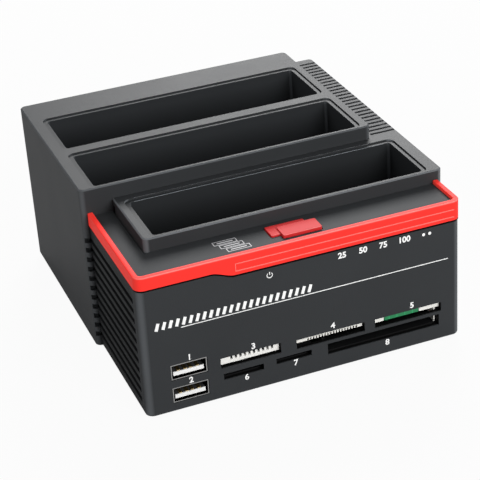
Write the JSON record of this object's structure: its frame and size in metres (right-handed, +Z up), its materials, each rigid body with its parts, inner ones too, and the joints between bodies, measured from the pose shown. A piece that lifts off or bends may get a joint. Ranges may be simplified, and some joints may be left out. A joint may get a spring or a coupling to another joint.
{
  "type": "drive docking station",
  "caption": "Desktop docking station for upright hard drives: stepped drive bays, a louvred edge, card slots, front data ports, a red light trim and a push key.",
  "frame": {"origin": "middle of the bounding box in plan, on the plane of the feet's undersides", "axes": "+X to the right of someone facing the card slots, +Y from the front to the rear, +Z up"},
  "size_m": [0.126, 0.1392, 0.0665],
  "materials": {
    "housing_plastic": "fine spark-eroded texture, dark grey",
    "bezel_plastic": "fine texture, dark grey, white print",
    "well_plastic": "smooth, near black",
    "trim_red": "translucent red, satin",
    "key_red": "red, satin",
    "board_green": "solder mask, green",
    "connector_white": "natural white",
    "connector_black": "black",
    "shell_metal": "tinned, satin",
    "contact_metal": "gold flashed",
    "can_metal": "sleeved can",
    "light_clear": "clear epoxy",
    "screw_steel": "zinc plated",
    "foot_rubber": "matte black"
  },
  "bodies": {
    "housing": {"upper_shell": "housing_plastic", "vent_shell": "housing_plastic", "base_tray": "housing_plastic", "front_bezel": "bezel_plastic", "light_trim": "trim_red", "key_switch": "connector_black", "key_board": "board_green", "main_board": "board_green", "bridge_chips": "connector_black", "capacitors": "can_metal", "rear_drive_socket": "connector_black", "middle_drive_socket": "connector_black", "drive_contacts": "contact_metal", "front_drive_socket": "connector_black", "front_power_socket": "connector_white", "card_board": "board_green", "left_card_contacts": "connector_white", "middle_card_contacts": "connector_white", "right_card_guides": "connector_white", "wide_card_socket": "connector_black", "small_card_socket": "connector_black", "tiny_card_socket": "connector_black", "lower_front_port": "shell_metal", "upper_front_port": "shell_metal", "port_tongues": "connector_white", "port_contacts": "contact_metal", "port_spacer": "connector_white", "led_board": "board_green", "indicator_leds": "light_clear", "dc_jack": "connector_black", "dc_jack_pin": "shell_metal", "host_port": "shell_metal", "host_tongue": "connector_white", "power_switch_frame": "connector_black", "rubber_feet": "foot_rubber", "base_screws": "screw_steel", "board_screws": "screw_steel", "rear_drive_well": "well_plastic", "middle_drive_well": "well_plastic", "front_drive_well": "well_plastic"},
    "copy_key": {"copy_button": "key_red", "switch_plunger": "connector_black"},
    "rocker": {"power_rocker": "connector_black"}
  },
  "joints": [
    {"name": "copy_press", "type": "slide", "parent": "housing", "child": "copy_key", "axis": [0, 0, -1], "range_m": [0, 0.001], "stiffness_N_per_m": 1500},
    {"name": "power_rock", "type": "hinge", "parent": "housing", "child": "rocker", "pos_m": [0.024, 0.06493, 0.0355], "axis": [1, 0, 0], "range_deg": [0, 16]}
  ]
}
